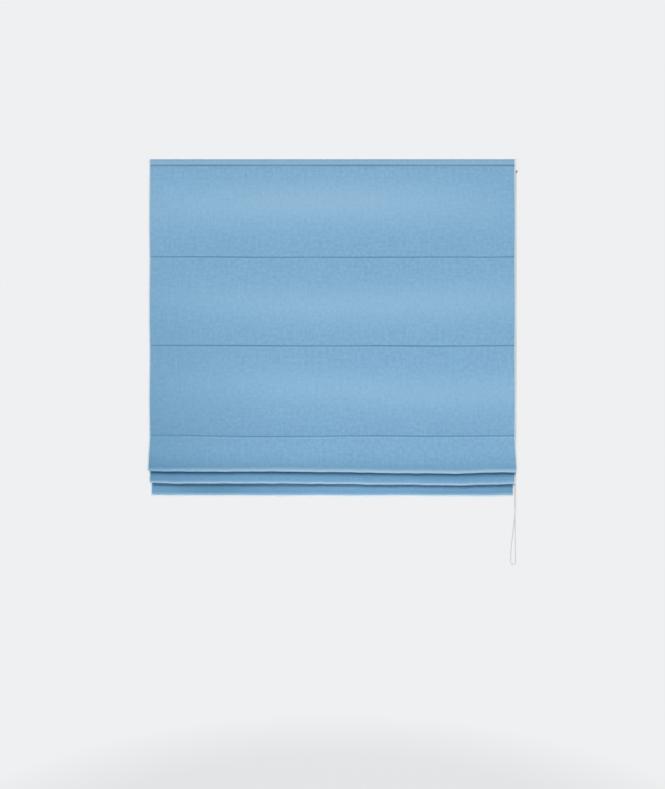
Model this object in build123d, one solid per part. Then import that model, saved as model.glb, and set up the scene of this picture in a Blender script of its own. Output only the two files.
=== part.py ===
from build123d import *
from math import atan, atan2, cos, hypot, pi, radians, sin, tan
import os

# Roman blind with a bead-chain drive, partly raised.
# X runs along the headrail, +Y away from the room, +Z up.
# The origin is the centre of the four bracket screw holes, on the lintel's face.

# Cloth
cloth_width = 1100.0
face_thickness = 0.8
lining_thickness = 0.8
lining_reveal = 4.0
cloth_top_gap = 3.0
first_seam_drop = 296.0
seam_pitch = 268.5
seam_count = 3
panel_bow = 4.5
bow_round_share = 0.9
seam_round = 3.0
seam_groove_width = 2.4
seam_groove_depth = 0.5

# Folded stack: drops from the last seam or from the fold above, depths from the flat cloth
fold_gap = 12.4
fold_round = 5.8
fold_1_forward = 28.0
fold_1_drop = 107.0
fold_2_forward = 2.0
fold_2_below = 37.0
crest_width = 7.0
crest_round = 3.2
crest_4_drop = 18.0
crest_5_below = 30.0
crest_5_setback = 12.5
hem_setback = 30.0
hem_below = 35.5
hem_lead = 3.0
hem_lead_round = 12.0
hem_corner_round = 1.6

# Stiffening rods in their pockets
rod_radius = 2.0
rod_inset = 12.0
rod_clearance = 0.3
rod_sides = 12
pocket_wall = 1.0
pocket_sink = 0.4
pocket_inset = 6.0
pocket_sides = 8

# Bottom bar
bar_height = 25.0
bar_thickness = 3.5
bar_inset = 14.0
bar_clearance = 0.3
bar_bevel = 0.8
bar_cap_length = 3.0
bar_cap_lip = 0.2

# Lift cords and their guides
cord_radius = 0.7
cord_count = 3
cord_inset = 100.0
cord_clearance = 0.1
cord_bend_share = 0.45
cord_sides = 8
ring_radius = 4.5
ring_hole_radius = 2.6
ring_sides = 8
ring_height = 2.0
ring_stem_width = 2.4
ring_stem_length = 1.2
ring_foot_width = 8.0
ring_foot_height = 5.0
ring_foot_thickness = 1.0
ring_seat_gap = 0.3
adjuster_width = 9.0
adjuster_depth = 5.6
adjuster_height = 15.0
adjuster_bore_radius = 1.4
adjuster_bevel = 1.2
adjuster_bore_sides = 8
adjuster_entry = 3.0

# Headrail
rail_depth = 36.0
rail_height = 36.0
rail_wall = 1.6
rail_left_inset = 4.0
rail_right_inset = 6.0
slot_mouth = 20.0
slot_width = 25.0
slot_height = 4.2
slot_lip = 1.4
rail_mouth = 24.0

# Hook and loop tape
tape_height = 20.0
tape_thickness = 1.2
tape_inset = 10.0
tape_top_gap = 3.5

# Brackets
bracket_thickness = 1.5
bracket_width = 28.0
bracket_depth = 32.0
bracket_inset = 170.0
bracket_clearance = 0.3
bracket_leg = 1.3
bracket_toe = 1.4
bracket_bevel = 4.0
screw_pitch = 10.0
screw_hole_radius = 2.25

# Shaft, spools and cradles
shaft_flats = 6.0
shaft_clearance = 0.1
running_clearance = 0.05
drum_radius = 6.0
drum_length = 20.0
flange_radius = 10.0
flange_thickness = 1.5
journal_overhang = 1.0
spool_side_gap = 0.4
cradle_wall = 2.2
cradle_base = 2.0
cradle_slot_height = 6.0
cradle_side_gap = 0.2
cradle_crown = 3.4
cradle_snap_share = 0.8
bearing_sides = 8
cord_slot_width = 6.0
cord_slot_length = 14.0

# Drive end
end_plate = 4.0
end_bevel = 2.0
spigot_length = 26.0
spigot_gap = 0.2
brake_chamber_radius = 11.0
core_radius = 7.5
core_length = 17.0
hub_radius = 5.0
spring_gap = 0.1
spring_wire = 1.0
spring_length = 12.0
tang_length = 1.6
tang_width = 1.2
tang_half_angle = 34.0
driver_radius = 10.4
driver_disc = 4.0
driver_gap = 1.5
driver_finger = 12.0
driver_half_angle = 26.0
finger_gap = 0.4
chamber_wall = 2.0
guard_thickness = 2.0
guard_pin_radius = 2.95
guard_pin_length = 4.0

# Bead chain and its wheel
bead_pitch = 6.0
bead_half = 2.25
bead_neck = 0.6
wheel_pockets = 10
strand_beads = 199
turn_beads = 4
chain_edge_gap = 0.75
chain_lean = 7.0
spread_start_share = 0.835
pocket_gap = 0.35
tooth_thickness = 0.8
tooth_tip_gap = 1.2
tooth_slot = 2.4
wheel_flange = 1.0
wheel_rim_sides = 20
wheel_flange_rise = 1.4
wheel_side_gap = 0.5

# Idle end
idle_plate = 4.0
idle_spigot = 16.0
idle_boss_wall = 2.0
idle_boss_sides = 8
bush_length = 14.0
bush_socket = 9.0

# One overrun serves every cut, one number of sides every hidden turned piece
overrun = 1.0
turned_sides = 12

# Places worked out from the sizes above
rail_left = rail_left_inset - cloth_width / 2
rail_right = cloth_width / 2 - rail_right_inset
rod_length = cloth_width - 2 * rod_inset
bar_length = cloth_width - 2 * bar_inset
tape_length = cloth_width - 2 * tape_inset
cord_pitch = (cloth_width - 2 * cord_inset) / (cord_count - 1)
bracket_spacing = cloth_width - 2 * bracket_inset
rail_top = -bracket_thickness
rail_bottom = rail_top - rail_height
cavity_top = rail_top - slot_height - rail_wall
cavity_bottom = rail_bottom + rail_wall
cavity_half = rail_depth / 2 - rail_wall
axis_z = (cavity_top + cavity_bottom) / 2
cloth_y = -(rail_depth / 2 + 2 * tape_thickness + lining_thickness)
tape_bottom = -(tape_top_gap + tape_height)
seam_places = [-(first_seam_drop + seam_pitch * i) for i in range(seam_count)]
last_seam = seam_places[-1]
bore_radius = rod_radius + rod_clearance
pocket_radius = bore_radius + pocket_wall
pocket_offset = lining_thickness + pocket_radius - pocket_sink
crest_4 = last_seam - crest_4_drop
crest_5 = crest_4 - crest_5_below
fold_2_drop = fold_1_drop + fold_2_below
hem_bottom = last_seam - fold_2_drop - hem_below
hem_height = bar_height + 2 * bar_clearance + 2 * face_thickness
hem_top = hem_bottom + hem_height
hem_depth = bar_thickness + 2 * bar_clearance + 2 * face_thickness
hem_front_y = cloth_y + hem_setback - face_thickness
hem_mid_y = hem_front_y + hem_depth / 2
rod_places = [(cloth_y + pocket_offset, z) for z in seam_places]
rod_places.append((cloth_y + pocket_offset, crest_4 + pocket_offset))
rod_places.append((cloth_y + crest_5_setback, crest_5 + pocket_offset))
ring_reach = pocket_radius + ring_seat_gap + ring_foot_thickness + ring_stem_length + ring_radius
cord_places = [(i - (cord_count - 1) / 2) * cord_pitch for i in range(cord_count)]
adjuster_y = hem_front_y + hem_depth + ring_seat_gap + adjuster_depth / 2
wheel_radius = bead_pitch * wheel_pockets / (2 * pi)
chain_x = cloth_width / 2 + chain_edge_gap + bead_half
wheel_half = bead_half + pocket_gap + wheel_flange
plate_outer = rail_right + end_plate
guard_inner = chain_x + wheel_half + wheel_side_gap
turn_radius = bead_pitch * turn_beads / pi
strand_drop = bead_pitch * strand_beads


def rectangle(y0, y1, z0, z1):
    return Pos((y0 + y1) / 2, (z0 + z1) / 2) * Rectangle(y1 - y0, z1 - z0)


def along_x(profile, x0, x1):
    return extrude(Plane.YZ.offset(x0) * profile, amount=x1 - x0)


def rod_x(radius, x0, x1):
    return along_x(Pos(0, axis_z) * Circle(radius), x0, x1)


def turned(radius):
    return Pos(0, axis_z) * RegularPolygon(radius, turned_sides)


def hexagon(flats):
    return Pos(0, axis_z) * RegularPolygon(flats / 2, 6, major_radius=False)


def sector(radius, half_angle):
    """Wedge from the shaft's axis to past the given radius, about +Y."""
    reach = radius + overrun
    rise = reach * tan(radians(half_angle))
    return Pos(0, axis_z) * make_face(Polyline((0, 0), (reach, -rise), (reach, rise), close=True))


# Cloth

def cloth_route():
    """Corners (depth, height, round) of the surface where face cloth and lining meet, top edge to hem."""
    route = [(0, -cloth_top_gap, 0), (0, tape_bottom, seam_round)]
    top = tape_bottom
    for seam in seam_places:
        half_drop = (top - seam) / 2
        bend = atan(2 * panel_bow / half_drop)
        route.append((-2 * panel_bow, (top + seam) / 2, bow_round_share * half_drop / tan(bend)))
        route.append((0, seam, seam_round))
        top = seam
    fold_1 = last_seam - fold_1_drop + face_thickness
    fold_2 = last_seam - fold_2_drop + face_thickness
    half_crest = crest_width / 2
    route.append((-fold_1_forward, fold_1, fold_round))
    route.append((fold_gap - fold_1_forward, fold_1, fold_round))
    route.append((pocket_offset - half_crest, crest_4, crest_round))
    route.append((pocket_offset + half_crest, crest_4, crest_round))
    route.append((-fold_2_forward, fold_2, fold_round))
    route.append((fold_gap - fold_2_forward, fold_2, fold_round))
    route.append((crest_5_setback - half_crest, crest_5, crest_round))
    route.append((crest_5_setback + half_crest, crest_5, crest_round))
    route.append((hem_setback, hem_top + hem_lead, hem_lead_round))
    route.append((hem_setback, hem_top, 0))
    return route


def beside(route, shift):
    """The route moved sideways towards the room, with its rounds to match."""
    legs = []
    for (y0, z0, _), (y1, z1, _) in zip(route, route[1:]):
        length = hypot(y1 - y0, z1 - z0)
        legs.append(((y1 - y0) / length, (z1 - z0) / length))
    points = []
    rounds = []
    for i, (y, z, radius) in enumerate(route):
        before = legs[max(i - 1, 0)]
        after = legs[min(i, len(legs) - 1)]
        across = (before[1] + after[1], -(before[0] + after[0]))
        share = shift / (1 + before[0] * after[0] + before[1] * after[1])
        points.append((y + across[0] * share, z + across[1] * share))
        turn = before[0] * after[1] - before[1] * after[0]
        rounds.append(radius + (shift if turn > 0 else -shift))
    return FilletPolyline(*points, radius=rounds[1:-1])


def cloth_sheet(front_shift, back_shift, width):
    route = cloth_route()
    front = beside(route, front_shift)
    back = beside(route, back_shift)
    ends = [Line(front @ 0, back @ 0), Line(front @ 1, back @ 1)]
    profile = Pos(cloth_y, 0) * make_face(front.edges() + back.edges() + ends)
    return along_x(profile, -width / 2, width / 2)


def hem_section():
    """Cloth turned up round the bottom bar."""
    outline = RectangleRounded(hem_depth, hem_height, hem_corner_round)
    room = Rectangle(hem_depth - 2 * face_thickness, hem_height - 2 * face_thickness)
    front_wall = rectangle(hem_front_y, hem_front_y + face_thickness, hem_bottom + hem_height / 2, hem_top)
    return Pos(hem_mid_y, (hem_top + hem_bottom) / 2) * (outline - room) + front_wall


def face_fabric():
    width = cloth_width - 2 * lining_reveal
    cloth = cloth_sheet(face_thickness, 0, width)
    cloth += along_x(hem_section(), -width / 2, width / 2)
    for z in [tape_bottom] + seam_places:
        cloth -= along_x(stitch_groove(z), -width / 2, width / 2)
    return cloth


def stitch_groove(z):
    """V that a row of stitches draws into the face cloth."""
    front = cloth_y - face_thickness
    half = seam_groove_width / 2 * (1 + overrun / seam_groove_depth)
    corners = [(front + seam_groove_depth, z), (front - overrun, z - half), (front - overrun, z + half)]
    return make_face(Polyline(*corners, close=True))


def lining():
    cloth = cloth_sheet(0, -lining_thickness, cloth_width)
    half = cloth_width / 2 - pocket_inset
    for y, z in rod_places:
        pocket = RegularPolygon(pocket_radius, pocket_sides, major_radius=False)
        pocket -= RegularPolygon(bore_radius, pocket_sides, major_radius=False)
        cloth += along_x(Pos(y, z) * pocket, -half, half)
    return cloth


# Rods, rings and bottom bar

def stiffening_rod(y, z):
    section = Pos(y, z) * RegularPolygon(rod_radius, rod_sides)
    return along_x(section, -rod_length / 2, rod_length / 2)


def cord_rings(y, z):
    """One guide for each cord, sewn to the back of a rod pocket."""
    foot_y = y + pocket_radius + ring_seat_gap
    stem_y = foot_y + ring_foot_thickness
    centre_y = y + ring_reach
    bottom = z - ring_height / 2
    rings = []
    for x in cord_places:
        outline = RegularPolygon(ring_radius, ring_sides)
        outline -= RegularPolygon(ring_hole_radius, ring_sides)
        ring = extrude(Pos(x, centre_y, bottom) * outline, amount=ring_height)
        foot = Pos(x, (foot_y + stem_y) / 2, z) * Box(
            ring_foot_width, ring_foot_thickness, ring_foot_height
        )
        stem_end = centre_y - (ring_radius + ring_hole_radius) / 2
        stem = Pos(x, (stem_y + stem_end) / 2, z) * Box(
            ring_stem_width, stem_end - stem_y, ring_height
        )
        rings.append((ring + foot + stem).solid())
    return Compound(rings)


def bar_section(growth):
    outline = Rectangle(bar_thickness + growth, bar_height + growth)
    return Pos(hem_mid_y, (hem_top + hem_bottom) / 2) * chamfer(outline.vertices(), bar_bevel)


def bottom_bar():
    return along_x(bar_section(0), -bar_length / 2, bar_length / 2)


def bottom_bar_caps():
    left = along_x(bar_section(bar_cap_lip), -bar_length / 2 - bar_cap_length, -bar_length / 2)
    right = along_x(bar_section(bar_cap_lip), bar_length / 2, bar_length / 2 + bar_cap_length)
    return Compound([left.solid(), right.solid()])


def cord_adjusters():
    """Blocks on the back of the hem that hold the lift cords' lower ends."""
    blocks = []
    for x in cord_places:
        outline = Rectangle(adjuster_width, adjuster_depth)
        outline = chamfer(outline.vertices(), adjuster_bevel)
        outline -= RegularPolygon(adjuster_bore_radius, adjuster_bore_sides, major_radius=False)
        place = Pos(x, adjuster_y, hem_top - adjuster_height)
        blocks.append(extrude(place * outline, amount=adjuster_height).solid())
    return Compound(blocks)


def lift_cord(x):
    """From the front of the drum through the rings and down to the adjuster on the hem."""
    ring_4 = (rod_places[3][0] + ring_reach, rod_places[3][1])
    ring_5 = (rod_places[4][0] + ring_reach, rod_places[4][1])
    leaves = (-(drum_radius + cord_radius + cord_clearance), axis_z)
    ends = (adjuster_y, hem_top - adjuster_entry)
    points = [leaves, ring_4, ring_5, ends]
    radii = []
    for a, b, c in zip(points, points[1:], points[2:]):
        into = atan2(b[0] - a[0], a[1] - b[1])
        out = atan2(c[0] - b[0], b[1] - c[1])
        shorter = min(hypot(b[0] - a[0], b[1] - a[1]), hypot(c[0] - b[0], c[1] - b[1]))
        radii.append(cord_bend_share * shorter / tan(abs(out - into) / 2))
    route = Plane.YZ.offset(x) * FilletPolyline(*points, radius=radii)
    section = Plane(origin=route @ 0, z_dir=route % 0) * RegularPolygon(cord_radius, cord_sides)
    return sweep(section, path=route)


# Headrail and what hangs on it

def headrail():
    half = rail_depth / 2
    profile = rectangle(-half, half, rail_bottom, rail_top)
    slot_floor = rail_top - slot_height
    profile -= rectangle(-slot_mouth / 2, slot_mouth / 2, slot_floor, rail_top + overrun)
    profile -= rectangle(-slot_width / 2, slot_width / 2, slot_floor, rail_top - slot_lip)
    profile -= rectangle(-cavity_half, cavity_half, cavity_bottom, cavity_top)
    profile -= rectangle(-rail_mouth / 2, rail_mouth / 2, rail_bottom - overrun, cavity_bottom)
    return along_x(profile, rail_left, rail_right)


def bracket(x):
    """Plate with two out-turned feet that snap under the lips of the headrail's slot."""
    leg_outer = slot_mouth / 2 - bracket_clearance
    leg_inner = leg_outer - bracket_leg
    toe_outer = slot_width / 2 - bracket_clearance
    toe_top = rail_top - slot_lip - bracket_clearance
    toe_bottom = toe_top - bracket_toe
    feet = rectangle(leg_inner, leg_outer, toe_bottom, rail_top)
    feet += rectangle(leg_inner, toe_outer, toe_bottom, toe_top)
    feet += mirror(feet, Plane.YZ)
    outline = Rectangle(bracket_width, bracket_depth)
    outline = chamfer(outline.vertices(), bracket_bevel)
    for side in (-1, 1):
        outline -= Pos(0, side * screw_pitch / 2) * Circle(screw_hole_radius)
    plate = extrude(Pos(x, 0, rail_top) * outline, amount=bracket_thickness)
    return plate + along_x(feet, x - bracket_width / 2, x + bracket_width / 2)


def tape(outer_y):
    """A strip of hook or loop tape with its room-side face at outer_y."""
    section = rectangle(outer_y, outer_y + tape_thickness, tape_bottom, -tape_top_gap)
    return along_x(section, -tape_length / 2, tape_length / 2)


# Shaft, spools and cradles

def drive_shaft():
    left = rail_left + idle_spigot + idle_boss_wall - bush_socket
    right = rail_right - running_clearance
    return along_x(hexagon(shaft_flats), left, right)


def cord_spools():
    """Drums on the shaft, one for each lift cord, that turn in their cradles on their own ends."""
    half_drum = drum_length / 2
    half_flange = half_drum + flange_thickness
    half_journal = half_flange + spool_side_gap + cradle_wall + journal_overhang
    spools = []
    for x in cord_places:
        spool = along_x(turned(drum_radius), x - half_journal, x + half_journal)
        spool += along_x(turned(flange_radius), x + half_drum, x + half_flange)
        bore = along_x(hexagon(shaft_flats + shaft_clearance), x - half_journal, x + half_journal)
        spools.append((spool - bore).solid())
    return Compound(spools)


def spool_cradle(x):
    """Saddle on the headrail's lower lips with a snap-in bearing at each side of the drum."""
    half = cavity_half - cradle_side_gap
    inner = drum_length / 2 + flange_thickness + spool_side_gap
    outer = inner + cradle_wall
    bearing = drum_radius + running_clearance
    crown = axis_z + drum_radius + cradle_crown
    base_top = cavity_bottom + cradle_base
    saddle = along_x(rectangle(-half, half, cavity_bottom, base_top), x - outer, x + outer)
    cheek = rectangle(-half, half, base_top, axis_z) + rectangle(-half / 2, half / 2, axis_z, crown)
    cheek -= Pos(0, axis_z) * RegularPolygon(
        bearing, bearing_sides, major_radius=False, rotation=180 / bearing_sides
    )
    mouth = bearing * cradle_snap_share
    cheek -= rectangle(-mouth, mouth, axis_z, crown + overrun)
    saddle += along_x(cheek, x - outer, x - inner)
    saddle += along_x(cheek, x + inner, x + outer)
    slot = Pos(x, -drum_radius, cavity_bottom) * Box(cord_slot_length, cord_slot_width, cradle_slot_height)
    return saddle - slot


# Drive end

def end_outline():
    outline = Rectangle(rail_depth, rail_height)
    return Pos(0, (rail_top + rail_bottom) / 2) * chamfer(outline.vertices(), end_bevel)


def spigot_outline():
    half = cavity_half - spigot_gap
    return rectangle(-half, half, cavity_bottom + spigot_gap, cavity_top - spigot_gap)


def drive_housing():
    """End plate with a spigot that plugs the headrail and a hood over the chain wheel."""
    body = along_x(end_outline(), rail_right, guard_inner)
    half = rail_depth / 2 - chamber_wall
    chamber = rectangle(-half, half, rail_bottom - overrun, rail_top - chamber_wall)
    body -= along_x(chamber, plate_outer, guard_inner)
    spigot = spigot_outline() - Pos(0, axis_z) * Circle(brake_chamber_radius)
    body += along_x(spigot, rail_right - spigot_length, rail_right)
    return body - rod_x(hub_radius + running_clearance, rail_right, plate_outer)


def chain_guard():
    """Outer cover of the hood, with the pin that steadies the chain wheel."""
    cover = along_x(end_outline(), guard_inner, guard_inner + guard_thickness)
    return cover + rod_x(guard_pin_radius, guard_inner - guard_pin_length, guard_inner)


def chain_wheel():
    """Ten flat bead seats between split teeth, two flanges, and a hub with a hexagon socket."""
    seat = wheel_radius - bead_half - pocket_gap
    inner_half = bead_half + pocket_gap
    rim = wheel_radius + wheel_flange_rise
    step = 360 / wheel_pockets
    core = Pos(0, axis_z) * RegularPolygon(seat, wheel_pockets, major_radius=False, rotation=step / 2)
    wheel = along_x(core, chain_x - wheel_half, chain_x + wheel_half)
    tip = wheel_radius + bead_half - tooth_tip_gap
    for i in range(wheel_pockets):
        tooth = rectangle(0, tip, -tooth_thickness / 2, tooth_thickness / 2)
        place = Pos(0, axis_z) * Rot(0, 0, (i + 1 / 2) * step)
        wheel += along_x(place * tooth, chain_x - inner_half, chain_x + inner_half)
    flange = Pos(0, axis_z) * RegularPolygon(rim, wheel_rim_sides)
    wheel -= along_x(flange - core, chain_x - tooth_slot / 2, chain_x + tooth_slot / 2)
    wheel += along_x(flange, chain_x - wheel_half, chain_x - inner_half)
    wheel += along_x(flange, chain_x + inner_half, chain_x + wheel_half)
    hub_end = rail_right - core_length
    wheel += rod_x(hub_radius, hub_end, chain_x - wheel_half)
    wheel -= along_x(hexagon(shaft_flats + shaft_clearance), hub_end, rail_right)
    pin_room = guard_pin_length + running_clearance
    return wheel - rod_x(guard_pin_radius + running_clearance, guard_inner - pin_room, guard_inner)


def brake_core():
    """Fixed sleeve on the end plate: the wrap spring grips it and the wheel's hub runs in it."""
    bore = RegularPolygon(hub_radius + running_clearance, turned_sides, major_radius=False)
    sleeve = turned(core_radius) - Pos(0, axis_z) * bore
    return along_x(sleeve, rail_right - core_length, rail_right)


def brake_spring():
    """Close-wound wrap spring with a radial tang at each end."""
    inner = core_radius + spring_gap
    outer = inner + spring_wire
    start = rail_right - core_length + spring_gap
    bore = RegularPolygon(inner, turned_sides, major_radius=False)
    spring = along_x(turned(outer) - Pos(0, axis_z) * bore, start, start + spring_length)
    tang = rectangle(inner + spring_wire / 2, outer + tang_length, -tang_width / 2, tang_width / 2)
    for x, angle in ((start, -tang_half_angle), (start + spring_length - spring_wire, tang_half_angle)):
        spring += along_x(Pos(0, axis_z) * Rot(0, 0, angle) * tang, x, x + spring_wire)
    return spring


def spring_driver():
    """Disc on the shaft with a finger between the spring's tangs."""
    disc_end = rail_right - core_length - driver_gap
    disc = turned(driver_radius) - hexagon(shaft_flats + shaft_clearance)
    driver = along_x(disc, disc_end - driver_disc, disc_end)
    clear_of_spring = core_radius + spring_gap + spring_wire + finger_gap
    finger = turned(driver_radius) - turned(clear_of_spring)
    finger &= sector(driver_radius, driver_half_angle)
    return driver + along_x(finger, disc_end, disc_end + driver_finger)


# Idle end

def idle_end_cap():
    """Left end plate with a boss that carries the shaft's bush."""
    cap = along_x(end_outline(), rail_left - idle_plate, rail_left)
    half = cavity_half - spigot_gap
    frame = spigot_outline()
    frame -= rectangle(
        -half + chamber_wall,
        half - chamber_wall,
        cavity_bottom + spigot_gap + chamber_wall,
        cavity_top - spigot_gap - chamber_wall,
    )
    cap += along_x(frame, rail_left, rail_left + idle_spigot)
    boss = RegularPolygon(hub_radius + idle_boss_wall, idle_boss_sides, major_radius=False)
    cap += along_x(Pos(0, axis_z) * boss, rail_left, rail_left + idle_spigot)
    return cap - rod_x(hub_radius + running_clearance, rail_left, rail_left + idle_spigot)


def idle_bush():
    """Round journal on the shaft's left end."""
    right = rail_left + idle_spigot + idle_boss_wall
    bush = along_x(turned(hub_radius), right - bush_length, right)
    return bush - along_x(hexagon(shaft_flats + shaft_clearance), right - bush_socket, right)


# Bead chain

def bead_section(centre, across, out, half):
    """Three corners of a bead's section about its centre, one of them outwards."""
    reach = half / cos(radians(30))
    return [centre + across * half - out * (reach / 2),
            centre + out * reach,
            centre - across * half - out * (reach / 2)]


def bead_half_at(station):
    return bead_half if station % 2 == 0 else bead_neck


def bead_run(sections, flat_sides):
    """Closed solid through the sections, wide at each bead and narrow at each link."""
    faces = [Face(Wire.make_polygon(sections[0])), Face(Wire.make_polygon(sections[-1]))]
    for a, b in zip(sections, sections[1:]):
        for i in range(len(a)):
            j = (i + 1) % len(a)
            if flat_sides:
                faces.append(Face(Wire.make_polygon([a[i], a[j], b[j], b[i]])))
            else:
                faces.append(Face(Wire.make_polygon([a[i], a[j], b[j]])))
                faces.append(Face(Wire.make_polygon([a[i], b[j], b[i]])))
    return Solid(Shell(faces))


def chain_strand(side):
    """One hanging side of the loop: apart in depth at the wheel, apart in width at the bottom."""
    sections = []
    for station in range(2 * strand_beads + 1):
        drop_share = station / (2 * strand_beads)
        spread = max(0, (drop_share - spread_start_share) / (1 - spread_start_share))
        eased = spread * spread * (3 - 2 * spread)
        x = chain_x - (chain_lean - side * turn_radius) * eased
        y = side * wheel_radius * (1 - eased)
        centre = Vector(x, y, axis_z - strand_drop * drop_share)
        sections.append(bead_section(centre, Vector(1, 0, 0), Vector(0, 1, 0), bead_half_at(station)))
    return bead_run(sections, True)


def chain_over_wheel():
    sections = []
    for station in range(wheel_pockets + 1):
        angle = pi * station / wheel_pockets
        radial = Vector(0, cos(angle), sin(angle))
        centre = Vector(chain_x, 0, axis_z) + radial * wheel_radius
        sections.append(bead_section(centre, Vector(1, 0, 0), radial, bead_half_at(station)))
    return bead_run(sections, False)


def chain_turn():
    sections = []
    for station in range(2 * turn_beads + 1):
        angle = -pi * station / (2 * turn_beads)
        radial = Vector(cos(angle), 0, sin(angle))
        centre = Vector(chain_x - chain_lean, 0, axis_z - strand_drop) + radial * turn_radius
        sections.append(bead_section(centre, Vector(0, 1, 0), radial, bead_half_at(station)))
    return bead_run(sections, False)


def bead_chain():
    return Compound([chain_over_wheel(), chain_strand(-1), chain_strand(1), chain_turn()])


# One file for each piece
pieces = {
    "face_fabric": face_fabric(),
    "lining": lining(),
    "bottom_bar": bottom_bar(),
    "bottom_bar_caps": bottom_bar_caps(),
    "cord_adjusters": cord_adjusters(),
    "headrail": headrail(),
    "bracket_left": bracket(-bracket_spacing / 2),
    "bracket_right": bracket(bracket_spacing / 2),
    "hook_tape": tape(-rail_depth / 2 - tape_thickness),
    "loop_tape": tape(-rail_depth / 2 - 2 * tape_thickness),
    "drive_shaft": drive_shaft(),
    "cord_spools": cord_spools(),
    "drive_housing": drive_housing(),
    "chain_guard": chain_guard(),
    "chain_wheel": chain_wheel(),
    "brake_core": brake_core(),
    "brake_spring": brake_spring(),
    "spring_driver": spring_driver(),
    "idle_end_cap": idle_end_cap(),
    "idle_bush": idle_bush(),
    "bead_chain": bead_chain(),
}
for number, place in enumerate(rod_places, 1):
    pieces[f"rod_{number}"] = stiffening_rod(*place)
    pieces[f"cord_rings_{number}"] = cord_rings(*place)
for number, x in enumerate(cord_places, 1):
    pieces[f"lift_cord_{number}"] = lift_cord(x)
    pieces[f"spool_cradle_{number}"] = spool_cradle(x)

os.makedirs("parts", exist_ok=True)
for name, piece in pieces.items():
    export_step(piece, os.path.join("parts", f"{name}.step"))
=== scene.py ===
import bpy
import math
import random
import numpy as np
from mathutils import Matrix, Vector


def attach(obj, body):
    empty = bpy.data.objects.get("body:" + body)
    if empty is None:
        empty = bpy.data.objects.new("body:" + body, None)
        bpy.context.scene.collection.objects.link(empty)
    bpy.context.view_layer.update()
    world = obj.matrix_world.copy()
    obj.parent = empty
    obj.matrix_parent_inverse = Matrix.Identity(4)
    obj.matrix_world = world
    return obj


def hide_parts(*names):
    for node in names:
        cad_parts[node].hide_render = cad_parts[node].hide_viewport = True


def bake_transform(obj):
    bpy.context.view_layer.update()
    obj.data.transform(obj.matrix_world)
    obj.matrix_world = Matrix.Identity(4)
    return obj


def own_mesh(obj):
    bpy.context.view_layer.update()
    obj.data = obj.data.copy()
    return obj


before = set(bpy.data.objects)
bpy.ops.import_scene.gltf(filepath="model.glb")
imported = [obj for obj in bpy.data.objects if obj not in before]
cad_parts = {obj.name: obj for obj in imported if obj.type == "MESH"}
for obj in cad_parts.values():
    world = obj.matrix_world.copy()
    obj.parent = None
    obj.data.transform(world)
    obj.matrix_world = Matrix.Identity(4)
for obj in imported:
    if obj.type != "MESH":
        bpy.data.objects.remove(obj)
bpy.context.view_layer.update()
rng = random.Random(11)
MM = 0.001
show = bpy.context.scene.collection.objects.link

# Sizes in millimetres, as the solids have them
CLOTH_Y = -21.2
CLOTH = 0.8
FACE_HALF = 546.0
LINING_HALF = 550.0
TOP = -3.0
TAPE_LINE = -23.5
SEAMS = (-296.0, -564.5, -833.0)
FOLD_1 = (-28.0, -939.2)
FOLD_2 = (-2.0, -976.2)
FOLD_GAP = 12.4
CREST_4 = (0.2, -851.0)
CREST_5 = (9.0, -881.0)
CREST_WIDTH = 7.0
HEM_LEAD = (30.0, -982.3)
HEM_TOP = -985.3
HEM_BOTTOM = -1012.5
HEM_FRONT = 8.0
HEM_BACK = 13.7
RODS = ((-17.5, -296.0), (-17.5, -564.5), (-17.5, -833.0), (-17.5, -847.3), (-8.7, -877.3))
ROD_BODIES = ("first_rod", "second_rod", "third_rod", "fourth_rod", "hem_bar")
CORD_X = (-450.0, 0.0, 450.0)
AXIS_Z = -21.6


# Meshes

def new_object(name, points, faces, flat_faces=(), uvs=None):
    """Mesh object from points in millimetres; uvs are one pair for each point, in metres."""
    mesh = bpy.data.meshes.new(name)
    mesh.from_pydata([tuple(c * MM for c in p) for p in points], [], faces)
    smooth = [True] * len(faces)
    for i in flat_faces:
        smooth[i] = False
    mesh.polygons.foreach_set("use_smooth", smooth)
    if uvs is not None:
        layer = mesh.uv_layers.new(name="cloth")
        corner = np.zeros(len(mesh.loops), dtype=np.int32)
        mesh.loops.foreach_get("vertex_index", corner)
        layer.data.foreach_set("uv", np.asarray(uvs, dtype=np.float32)[corner].ravel())
    mesh.validate()
    mesh.update()
    obj = bpy.data.objects.new(name, mesh)
    show(obj)
    return obj


def coat(obj, material):
    obj.data.materials.clear()
    obj.data.materials.append(material)


def finish_piece(obj, material, body=None, nodes=()):
    """Gives a piece its material, slot and body, and hides the solids that it stands for."""
    coat(obj, material)
    if nodes:
        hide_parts(*nodes)
    if body:
        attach(obj, body)
    return obj


# Materials

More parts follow.
